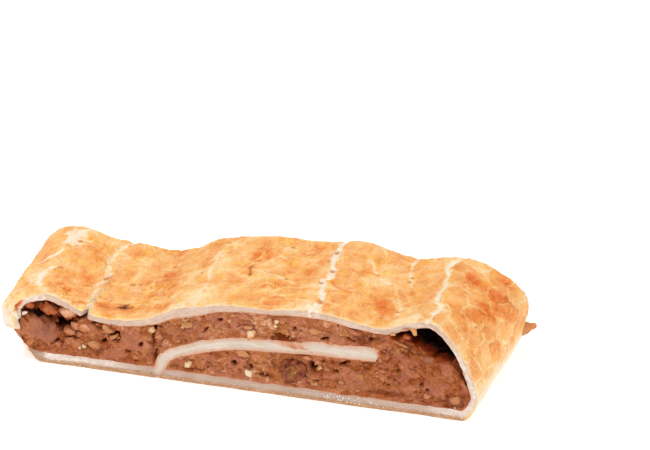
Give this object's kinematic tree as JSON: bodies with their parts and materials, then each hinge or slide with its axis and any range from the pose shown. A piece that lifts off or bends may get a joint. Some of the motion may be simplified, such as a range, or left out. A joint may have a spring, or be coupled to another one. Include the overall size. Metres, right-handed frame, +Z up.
{
  "type": "strudel slice",
  "caption": "Slice cut across a baked nut strudel: a spiral of browned pastry sheet round a chopped nut filling, lying on its flat base.",
  "frame": {"origin": "on the base, under the middle of the slice", "axes": "+X across the roll from the left fold to the right fold, +Y from the front cut to the back cut, +Z up"},
  "size_m": [0.1447, 0.0485, 0.0305],
  "materials": {
    "pastry": "baked golden crust with a dry satin sheen, pale and moist where it is cut",
    "filling": "craggy matte paste of ground nuts with chopped pieces"
  },
  "bodies": {
    "root": {"pastry": "pastry", "filling": "filling"}
  },
  "joints": []
}
